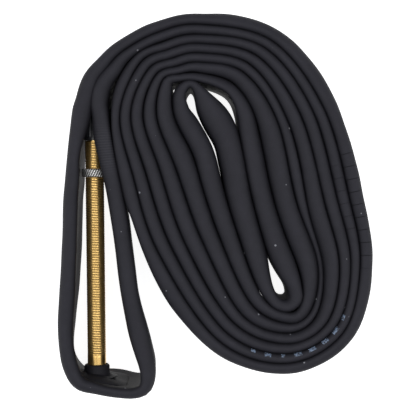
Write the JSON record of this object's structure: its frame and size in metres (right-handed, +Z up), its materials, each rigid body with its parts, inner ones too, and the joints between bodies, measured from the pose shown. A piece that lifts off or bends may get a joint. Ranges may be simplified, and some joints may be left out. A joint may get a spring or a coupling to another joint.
{
  "type": "bicycle inner tube",
  "caption": "Slim rubber bicycle inner tube, flattened, folded double and wound for storage, with a long threaded brass valve, rim nut and dust cap.",
  "frame": {"origin": "middle of the wound tube's outline, on the surface that it stands on", "axes": "+Z up across the tube's flat width, +Y along the valve from its base to its cap and along the winding's long side, +X from the valve towards the winding"},
  "size_m": [0.0972, 0.1192, 0.025],
  "materials": {
    "tube_rubber": "matt butyl rubber with a trace of talc",
    "base_rubber": "smooth moulded rubber",
    "stem_brass": "bright turned brass thread",
    "nut_nickel": "nickel plated, diagonal knurl",
    "core_brass": "turned brass",
    "gasket_rubber": "red sealing ring",
    "seal_rubber": "black rubber seal",
    "cap_plastic": "black moulded plastic"
  },
  "bodies": {
    "tube": {"tube_coil": "tube_rubber", "tube_valve_loop": "tube_rubber", "valve_base": "base_rubber", "valve_stem": "stem_brass", "core_body": "core_brass", "core_gasket": "gasket_rubber"},
    "rim_nut": {"rim_nut": "nut_nickel"},
    "valve_cap": {"valve_cap": "cap_plastic"},
    "lock_nut": {"lock_nut": "core_brass"},
    "valve_pin": {"valve_pin": "core_brass", "pin_seal": "seal_rubber"}
  },
  "joints": [
    {"name": "rim_nut_run", "type": "slide", "parent": "tube", "child": "rim_nut", "axis": [-0.0087, 0.9994, 0.0349], "range_m": [-0.058, 0.0015]},
    {"name": "cap_lift", "type": "slide", "parent": "tube", "child": "valve_cap", "axis": [-0.0087, 0.9994, 0.0349], "range_m": [0, 0.0045]},
    {"name": "pin_drop", "type": "slide", "parent": "tube", "child": "valve_pin", "axis": [-0.0087, 0.9994, 0.0349], "range_m": [-0.0021, 0]},
    {"name": "lock_nut_run", "type": "slide", "parent": "valve_pin", "child": "lock_nut", "axis": [-0.0087, 0.9994, 0.0349], "range_m": [0, 0.002]}
  ],
  "couplings": [
    {"joint": "pin_drop", "follows": "lock_nut_run", "ratio": -1}
  ]
}
